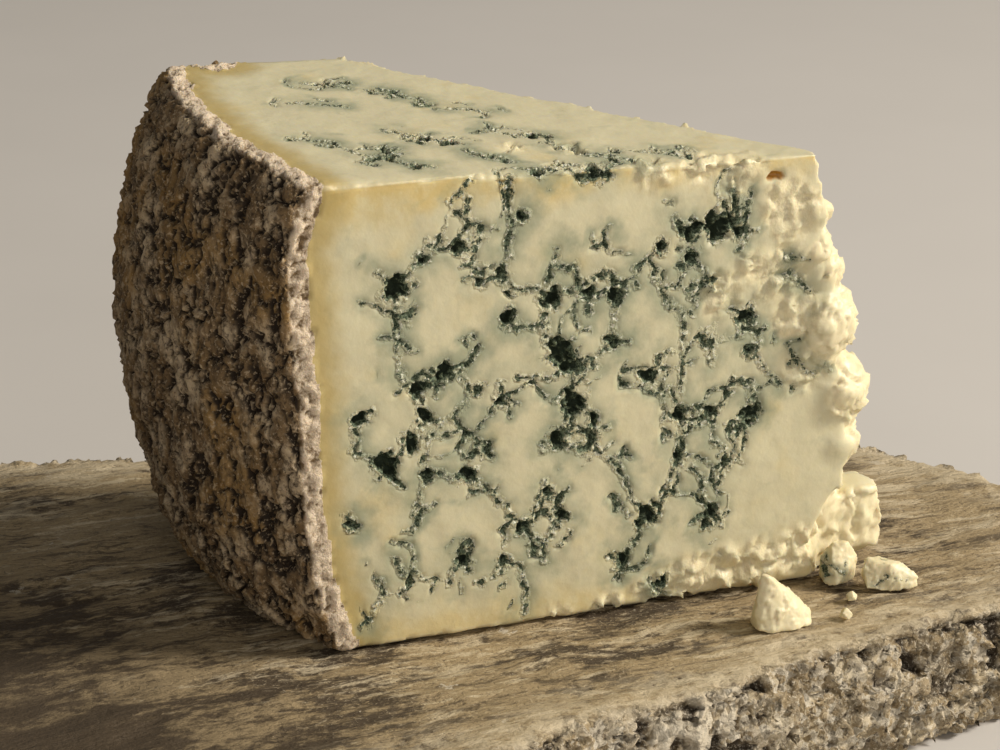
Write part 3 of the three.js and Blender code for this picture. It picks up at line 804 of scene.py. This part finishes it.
def rind_colour(g, place, relief, under, settings):
    """Brown crust with dark crevices of painted shade, pale bloom and ochre patches, and pale lumps where
    it is cut.
    """
    tall = g.vector("MULTIPLY", place, (1.0, 1.0, 0.8))
    brown, dark, bloom = settings.rind_brown, settings.rind_dark_and_crevice_shade, settings.rind_bloom
    # The coat by relief paints shade into the rind's low places; the other dark coats are its own dark
    # patches
    rind = g.coats(
        brown, (g.noise(tall, 7.0, 4.0, 0.62, 1.0), 0.44, 0.62, 1.0, bloom),
        (g.noise(place, 1.1, 3.0, 0.7, 3.0), 0.52, 0.62, 0.6, dark),
        (g.noise(place, 21.0, 2.0, 0.5, 6.0), 0.50, 0.66, 0.85, settings.rind_ochre),
        (g.noise(tall, 2.2, 4.0, 0.7, 8.0), 0.50, 0.66, 0.85, dark), (relief, 0.05, -1.0, 1.0, dark),
        (g.noise(place, 0.8, 2.0, 0.6, 9.0), 0.55, 0.68, 0.7, bloom))
    lump = g.step(g.add(relief, g.uneven(2.6, place, 1.1, 3.0, 0.7, 2.0)), -0.8, 0.25)
    tawny = scaled(settings.rind_brown, 0.9)
    cut = g.mix(lump, tawny, settings.rind_cut)
    return g.mix(g.step(under, 0.5, 1.3), rind, cut)


def cheese_material(settings):
    """Cream paste with stained, mouldy cracks, yellow under the rind, and the rind itself."""
    material, g, shader, place = new_material("Blue cheese")
    vein, depth, under, relief, loose = (
        g.attribute(name) for name in ("vein", "depth", "under_rind", "relief", "loose"))
    fine = g.noise(place, 0.5, 3.0, 0.65)
    ragged = g.add(vein, g.uneven(0.9, place, 0.7, 3.0, 0.65, 2.0))

    cloud = g.noise(place, 15.0, 3.0)
    butter = g.math("MAXIMUM", g.attribute("aged"), g.step(cloud, 0.56, 0.74, 0.0, 0.45))
    paste = g.mix(butter, settings.paste, settings.butter)
    lighter = scaled(settings.paste, 1.13)
    paste = g.mix(g.step(g.noise(place, 3.0, 4.0, 0.6, 3.0), 0.46, 0.64, 0.0, 0.3), paste, lighter)
    band = g.add(under, g.uneven(4.0, place, 4.0, 2.0, 0.5, 4.0))
    paste = g.mix(g.step(band, 12.0, 5.5, 0.0, 0.85), paste, settings.amber)
    open_curd = g.math("MAXIMUM", loose, g.attribute("broken"))
    paste = g.mix(g.mul(open_curd, 0.85), paste, settings.open_curd)
    # Paler where open curd is raised: a painted highlight on the raised clods
    pale = scaled(settings.paste, 1.22)
    raised_highlight = g.mul(g.step(relief, 0.05, 0.6), open_curd)
    paste = g.mix(g.mul(raised_highlight, 0.6), paste, pale)
    paste = g.mix(g.step(g.attribute("hole"), 0.35, -0.15), paste, settings.orange)

    halo = g.add(vein, g.uneven(3.4, place, 3.0, 3.0, 0.6, 5.0))
    seeping = g.step(g.noise(place, 8.0, 2.0, 0.5, 9.0), 0.38, 0.62, 0.3, 0.95)
    stained = g.mix(g.mul(g.step(halo, 5.4, 0.0, 0.0, 0.9), seeping), paste, settings.stain)
    specks = g.step(g.noise(place, 0.9, 2.0, 0.6, 6.0), 0.52, 0.60)
    stained = g.mix(g.both(g.step(ragged, 0.8, 0.4), specks), stained, settings.crust)
    dark_specks = g.step(g.noise(place, 0.9, 2.0, 0.6, 7.0), 0.52, 0.58)
    stained = g.mix(g.both(g.step(ragged, 0.7, 0.25), dark_specks), stained, settings.dusk)
    grey_crumb = g.mix(g.step(fine, 0.42, 0.58), settings.grey_crumb, settings.dusk)
    # Darkest where the crack goes deepest: the mould's own colour, made near black as painted shade deep
    # in the cracks
    deep = g.step(g.add(depth, g.mul(g.sub(fine, 0.5), 1.4)), 0.8, 1.5)
    inside = g.mix(deep, grey_crumb, settings.mould)
    cheese = g.mix(g.step(ragged, 0.28, 0.0), stained, inside)

    rim = g.add(g.attribute("on_rind"), g.mul(g.sub(fine, 0.5), 0.5))
    on_rind = g.step(rim, 0.4, 0.6)
    rind = rind_colour(g, place, relief, under, settings)
    g.feed(shader.inputs["Base Color"], g.mix(on_rind, cheese, rind))
    coarse = g.math("MAXIMUM", on_rind, g.step(ragged, 1.0, 0.2))
    g.feed(shader.inputs["Roughness"], g.add(g.step(fine, 0.3, 0.7, 0.38, 0.5), g.mul(coarse, 0.4)))
    shader.inputs["Subsurface Weight"].default_value = 0.22
    shader.inputs["Subsurface Radius"].default_value = (1.0, 0.72, 0.35)
    shader.inputs["Subsurface Scale"].default_value = 1.8 * MM
    shader.inputs["Specular IOR Level"].default_value = 0.42
    smooth = g.sum(g.mul(g.noise(place, 3.0, 3.0, 0.5, 4.0), 0.3), g.mul(fine, 0.03))
    rough = g.sum(g.mul(fine, 0.5), g.mul(g.noise(place, 1.2, 3.0, 0.65, 4.0), 0.9))
    flaky = g.both(g.noise(place, 1.5, 3.0, 0.6, 8.0), loose, 0.5)
    bump(g, shader, g.sum(smooth, flaky, g.mul(rough, coarse)), 0.7, 0.8)
    return material


# Two places on the board's front side, in millimetres: a pale fresh break, and a deep cavity by it.
FRESH_BREAK = (22.0, -76.0, 15.0)
CAVITY = (38.0, -78.0, 13.0)


def stone_material(settings):
    """Split stone: streaked and dull on top, pale and chipped where the sides broke."""
    material, g, shader, place = new_material("Split stone")
    side, relief, edge = (g.attribute(name) for name in ("side", "relief", "edge"))
    dark, brown, pale = settings.dark, settings.brown, settings.pale
    drawn = g.vector("MULTIPLY", g.sway(place, 30.0, 8.0), (0.26, 1.0, 1.0))
    streak = g.noise(drawn, 5.5, 6.0, 0.7)
    scratch = g.noise(g.vector("MULTIPLY", g.sway(place, 9.0, 2.0), (0.16, 1.0, 1.0)), 1.1, 4.0, 0.7)
    fine = g.noise(place, 0.7, 4.0, 0.72)
    cloud = g.noise(place, 40.0, 4.0, 0.6, 1.0)
    # Darker towards the board's left back: a painted shadow of the wedge, taken off every pattern of the
    # upper face
    painted_shadow = g.step(g.axis(place, (1.0, 0.5, 0.0)), -55.0, -125.0, 0.0, 0.22)
    grit = g.noise(g.vector("MULTIPLY", place, (0.45, 1.0, 1.0)), 1.7, 4.0, 0.75, 9.0)
    tone = g.sub(g.sum(streak, g.mul(g.sub(cloud, 0.5), 0.6), g.mul(g.sub(grit, 0.5), 0.6)), painted_shadow)
    bed = g.noise(g.vector("MULTIPLY", g.sway(place, 14.0, 3.0), (0.12, 1.0, 1.0)), 2.6, 4.0, 0.65, 5.0)
    bare = g.sub(g.add(bed, g.mul(g.sub(grit, 0.5), 0.4)), painted_shadow)
    scrapes = g.sub(g.add(g.noise(drawn, 9.0, 6.0, 0.72, 2.0), g.mul(g.sub(cloud, 0.5), 0.5)), painted_shadow)
    flecks = g.noise(place, 9.0, 5.0, 0.7, 3.0)
    top = g.coats(
        dark, (tone, 0.33, 0.52, 1.0, brown), (bare, 0.53, 0.66, 0.75, pale),
        (bed, 0.46, 0.34, 0.75, dark), (scrapes, 0.54, 0.68, 0.8, pale),
        (g.sub(scratch, painted_shadow), 0.57, 0.72, 0.5, pale), (scratch, 0.42, 0.32, 0.5, dark),
        (flecks, 0.665, 0.70, 0.8, settings.broken), (g.sub(fine, painted_shadow), 0.56, 0.68, 0.5, pale),
        (fine, 0.44, 0.34, 0.7, dark))
    worn = g.step(g.add(edge, g.mul(g.sub(streak, 0.5), 22.0)), 15.0, 1.0, 0.0, 0.75)
    top = g.mix(g.mul(worn, g.step(g.noise(place, 4.0, 4.0, 0.7, 6.0), 0.36, 0.55)), top, pale)
    # The painted shadow, laid over the upper face in its dark colour
    top = g.mix(g.mul(painted_shadow, 3.4), top, dark)

    shard = g.cells(g.sway(place, 2.0, 0.6), 1.7, output="Color")
    umber = scaled(settings.brown, 0.55)
    light = scaled(settings.broken, 1.3)
    rock = g.coats(
        settings.broken, (shard, 0.1, 0.7, 1.0, brown),
        (g.noise(place, 7.0, 4.0, 0.65, 4.0), 0.50, 0.62, 0.7, pale),
        (g.noise(place, 13.0, 3.0, 0.6, 8.0), 0.47, 0.62, 0.65, umber),
        # Darker where the side's relief sinks: painted shade in its pits
        (relief, -0.5, -1.9, 0.95, settings.pit),
        (g.noise(place, 1.6, 4.0, 0.7, 5.0), 0.55, 0.66, 0.9, settings.pit),
        (fine, 0.53, 0.62, 0.6, light))
    fresh = g.step(g.vector("DISTANCE", place, FRESH_BREAK), 26.0, 8.0, 0.0, 0.6)
    rock = g.mix(g.mul(fresh, g.step(relief, -1.2, 0.0)), rock, light)
    g.feed(shader.inputs["Base Color"], g.mix(side, top, rock))
    g.feed(shader.inputs["Roughness"], g.step(fine, 0.2, 0.8, 0.55, 0.95))
    shader.inputs["Specular IOR Level"].default_value = 0.4
    flat = g.sum(g.mul(streak, 1.3), g.mul(scratch, 0.8), g.mul(fine, 0.3))
    split = g.sum(g.mul(g.chips(g.sway(place, 2.0, 0.8), 1.6), 2.6), g.mul(fine, 0.9))
    height = g.add(flat, g.mul(g.sub(split, flat), side))
    bump(g, shader, height, 0.8, 1.0)
    return material


# ---- The board's surface ----


def stone_tree():
    """Turns a plain slab into split stone: shallow splits on top, chips and pits in the sides."""
    lengths = ("Streak relief", "Side relief", "Chip size")
    sizes = {size: "float" for size in (*lengths, "Seed")}
    g = SurfaceTree("Stone surface", **sizes, Material="material")
    given = g.given
    mm = {size: g.mul(given[size], 1 / MM) for size in lengths}
    seed = g.vector("SCALE", (17.0, 5.0, 11.0), scale=given["Seed"])
    place = g.vector("ADD", g.position_mm(), seed)
    level = g.math("ABSOLUTE", g.axis(g.normal(), (0, 0, 1)))
    side = g.blurred(g.step(level, 0.96, 0.75), 2)
    edge = g.faces_near(given["Geometry"], g.math("LESS_THAN", level, 0.7))

    drawn = g.vector("MULTIPLY", g.sway(place, 25.0, 6.0), (0.3, 1.0, 1.0))
    splits = g.step(g.noise(drawn, 7.0, 5.0, 0.6), 0.40, 0.62, -0.9, 0.1)
    flakes = g.mul(g.chips(g.vector("MULTIPLY", g.sway(place, 8.0, 3.0), (0.5, 1.0, 1.0)),
                                 9.0), 0.14)
    splits = g.mul(g.add(splits, flakes), mm["Streak relief"])

    per_chip = g.math("DIVIDE", 1.0, mm["Chip size"])
    chip_place = g.vector("SCALE", g.sway(place, 5.0, 1.6), scale=per_chip)
    large = g.mul(g.chips(chip_place, 1.0), 1.5)
    small = g.mul(g.chips(g.vector("ADD", chip_place, (3.0, 1.0, 2.0)), 0.35), 2.6)
    lumps = g.uneven(0.9, chip_place, 2.4, 2.0)
    pits = g.step(g.noise(chip_place, 2.6, 4.0, 0.6, 1.0), 0.55, 0.66, 0.0, -1.5)
    grains = g.uneven(0.4, place, 1.8, 3.0, 0.7)
    rock = g.mul(g.sum(large, small, lumps, pits, grains), mm["Side relief"])
    cavity = g.vector("DISTANCE", g.sway(g.position_mm(), 6.0, 3.0), CAVITY)
    rock = g.sub(rock, g.step(cavity, 10.0, 3.0, 0.0, 4.5))
    rock = g.math("MINIMUM", rock, 0.9)
    relief = g.add(g.mul(splits, g.sub(1.0, side)), g.mul(rock, side))
    geometry = given["Geometry"]
    for name, value in {"side": side, "edge": edge, "relief": relief}.items():
        geometry = g.store(geometry, name, value)
    geometry = g.push(geometry, g.stored("relief"))
    g.finish(g.flat_foot(geometry, 0.0))
    return g.tree


# ---- Operators ----


class BuildBoard(bpy.types.Operator):
    """Make the stone board"""

    bl_idname = "cheeseboard.build_board"
    bl_label = "Stone board"

    def execute(self, context):
        settings = context.scene.cheese_stone
        mesh = even_mesh("stone_board", settings.grain)
        refine(mesh, lambda normal, middle: abs(normal.z) < 0.9)
        shown = run_tree(mesh, stone_tree(), "stone_board_surface", {
            "Streak relief": settings.streak_relief, "Side relief": settings.side_relief,
            "Chip size": settings.chip_size, "Seed": float(settings.seed),
            "Material": stone_material(settings)})
        hand_over("board", shown, "stone", "stone_board")
        return {"FINISHED"}


def cheese_values(settings, material, node, **others):
    """What the cheese's tree is told about a node: the settings, its heights, and the others."""
    low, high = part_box(node)
    values = {
        "Vein depth": settings.vein_depth, "Curd size": settings.curd_size,
        "Curd relief": settings.curd_relief, "Rind thickness": settings.rind_thickness,
        "Rind relief": settings.rind_relief, "Seed": float(settings.seed), "Material": material,
        "Foot": low.z, "Crown": high.z,
    }
    return {**values, **others}


def shared(maker, pool, name, *values):
    """What a maker makes, made once and then found again by its name."""
    return pool.get(name) or maker(*values)


class BuildWedge(bpy.types.Operator):
    """Make the wedge, with its veins, its broken tip and its rind"""

    bl_idname = "cheeseboard.build_wedge"
    bl_label = "Cheese wedge"

    def execute(self, context):
        settings = context.scene.cheese_cheese
        material = shared(cheese_material, bpy.data.materials, "Blue cheese", settings)
        tree = shared(cheese_tree, bpy.data.node_groups, "Cheese surface")
        foot, _ = wedge_foot()
        guides = wedge_guides()
        mesh = even_mesh("cheese_wedge", settings.grain)
        tip = foot.x + TIP_START
        refine(mesh, lambda normal, middle: normal.y < -0.8 or normal.z > 0.8 or normal.x < -0.5
               or middle.x > tip)
        refine(mesh, near_points((guides["Cracks"], guides["Hollows"]), VEIN_MARGIN))
        values = cheese_values(settings, material, "cheese_wedge", **guides, **{
            "Rind edge": foot.x + RIND_EDGE, "Rind distance": 0.0, "Tip edge": tip,
            "Front plane": foot.y, "Inner veins": 1.0, "All broken": 0.0, "Tightness": 1.0})
        shown = run_tree(mesh, tree, "wedge_surface", values)
        for guide in guides.values():
            bpy.data.objects.remove(guide)
        hand_over("wedge", shown, "cheese", "cheese_wedge")
        return {"FINISHED"}


# Stains on the crumbs: node, then spots of (share of the width, share of the height, radius).
CRUMB_SPOTS = {
    "round_crumb": ((0.03, 0.42, 0.9), (0.08, 0.62, 0.6), (0.06, 0.25, 0.6)),
    "long_crumb": ((0.35, 0.5, 0.12), (0.5, 0.45, 0.15), (0.62, 0.4, 0.1), (0.75, 0.35, 0.12)),
}


class BuildCrumbs(bpy.types.Operator):
    """Make the crumbs that fell from the wedge"""

    bl_idname = "cheeseboard.build_crumbs"
    bl_label = "Crumbs"

    def execute(self, context):
        settings = context.scene.cheese_cheese
        material = shared(cheese_material, bpy.data.materials, "Blue cheese", settings)
        tree = shared(cheese_tree, bpy.data.node_groups, "Cheese surface")
        far_off = guide_points("nothing_near", [(Vector((0, 0, -1)), 0.1)])
        for node in CRUMB_NODES:
            low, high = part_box(node)
            size = high - low
            spots = [(u * size.x / MM, v * size.z / MM, r) for u, v, r in CRUMB_SPOTS.get(node, ())]
            stained = list(on_front(skin_of(node), low, spots))
            guide = guide_points(node + "_stains", stained) if stained else far_off
            values = cheese_values(settings, material, node, **{
                "Cracks": guide, "Hollows": guide, "Holes": far_off, "Loose curd": far_off,
                "Rind edge": -1.0, "Rind distance": 0.1, "Tip edge": -1.0,
                "Front plane": 0.0, "Inner veins": 0.0, "All broken": 1.0, "Tightness": 2.4,
                "Crown": 1.0, "Vein depth": 0.4 * MM,
                "Curd size": 0.3 * size.x, "Curd relief": 0.014 * size.x})
            mesh = even_mesh(node, min(settings.crumb_grain, size.z / 12))
            hand_over(node.replace("_crumb", "") + "_fragment",
                      run_tree(mesh, tree, node + "_surface", values), "cheese", node)
        for guide in [obj for obj in bpy.data.objects if obj.name.endswith(("_stains", "nothing_near"))]:
            bpy.data.objects.remove(guide)
        return {"FINISHED"}


# The lights' and the camera's places in metres, and their angles in degrees.
KEY_PLACE = (2.0, -0.7, 1.45)
KEY_TINT = (1.0, 0.95, 0.87)
KEY_SPREAD = 90.0
FILL_PLACE = (0.1, -2.8, 0.8)
FILL_TINT = (1.0, 0.98, 0.95)
LIT_PLACE = (0.0, 0.0, 0.06)
ROOM_TINT = (1.0, 0.97, 0.93, 1.0)
ROOM_STRENGTH = 0.16
FLOOR_REACH = 3.0
CAMERA_SIDEWAYS, CAMERA_BACK = -0.110, -0.419
CAMERA_DOWN = 22.0
CAMERA_TURN = -18.8


def area_light(name, place, aim, size, power, tint, spread=180.0):
    light = bpy.data.lights.new(name, "AREA")
    light.shape = "DISK"
    light.size = size
    light.energy = power
    light.color = tint
    light.spread = math.radians(spread)
    lamp = new_object(name, light)
    lamp.visible_camera = False
    lamp.location = place
    lamp.rotation_euler = (Vector(aim) - Vector(place)).to_track_quat("-Z", "Y").to_euler()


class BuildStage(bpy.types.Operator):
    """Make the floor, the lights and the camera"""

    bl_idname = "cheeseboard.build_stage"
    bl_label = "Stage"

    def execute(self, context):
        settings = context.scene.cheese_stage
        self.floor(settings)
        area_light("key", KEY_PLACE, LIT_PLACE, 0.8, settings.key_power, KEY_TINT, KEY_SPREAD)
        area_light("fill", FILL_PLACE, LIT_PLACE, 1.8, settings.fill_power, FILL_TINT)
        world = bpy.data.worlds.new("Soft room")
        world.use_nodes = True
        room = world.node_tree.nodes["Background"].inputs
        room["Color"].default_value = ROOM_TINT
        room["Strength"].default_value = ROOM_STRENGTH
        context.scene.world = world
        context.scene.view_settings.view_transform = "Standard"
        self.camera(context, settings)
        return {"FINISHED"}

    def floor(self, settings):
        mesh = bpy.data.meshes.new("floor")
        corners = [(x * FLOOR_REACH, y * FLOOR_REACH, 0) for x, y in ((-1, -1), (1, -1), (1, 1), (-1, 1))]
        mesh.from_pydata(corners, [], [(0, 1, 2, 3)])
        material, g, shader, place = new_material("Plain floor")
        soft = g.noise(place, 60.0, 2.0)
        shade = scaled(settings.floor_colour, 0.95)
        g.feed(shader.inputs["Base Color"], g.mix(soft, settings.floor_colour, shade))
        shader.inputs["Roughness"].default_value = 0.8
        mesh.materials.append(material)
        new_object("floor", mesh)

    def camera(self, context, settings):
        """The camera looks down on the wedge from the front, a little from its rind's side."""
        foot, _ = wedge_foot()
        data = bpy.data.cameras.new("camera")
        data.sensor_width = 36.0
        data.lens = settings.camera_lens
        data.clip_start = 0.01
        camera = new_object("camera", data)
        camera.location = foot + Vector((CAMERA_SIDEWAYS, CAMERA_BACK, settings.camera_height))
        camera.rotation_euler = (math.radians(90 - CAMERA_DOWN), 0.0, math.radians(CAMERA_TURN))
        context.scene.camera = camera


class CheeseBoardPanel(bpy.types.Panel):
    """The pieces of the cheese board"""

    bl_idname = "VIEW3D_PT_cheese_board"
    bl_label = "Cheese board"
    bl_space_type = "VIEW_3D"
    bl_region_type = "UI"
    bl_category = "Cheese board"

    def draw(self, context):
        for operator in OPERATORS:
            self.layout.operator(operator.bl_idname)


OPERATORS = (BuildStage, BuildBoard, BuildWedge, BuildCrumbs)
SETTINGS = {"cheese_cheese": CheeseSettings, "cheese_stone": BoardSettings, "cheese_stage": StageSettings}


def register():
    for kind in (*SETTINGS.values(), *OPERATORS, CheeseBoardPanel):
        bpy.utils.register_class(kind)
    for name, kind in SETTINGS.items():
        setattr(bpy.types.Scene, name, PointerProperty(type=kind))


def unregister():
    for name in SETTINGS:
        delattr(bpy.types.Scene, name)
    for kind in (*SETTINGS.values(), *OPERATORS, CheeseBoardPanel):
        bpy.utils.unregister_class(kind)


def main():
    register()
    bpy.ops.cheeseboard.build_stage()
    bpy.ops.cheeseboard.build_board()
    bpy.ops.cheeseboard.build_wedge()
    bpy.ops.cheeseboard.build_crumbs()


if __name__ == "__main__":
    main()
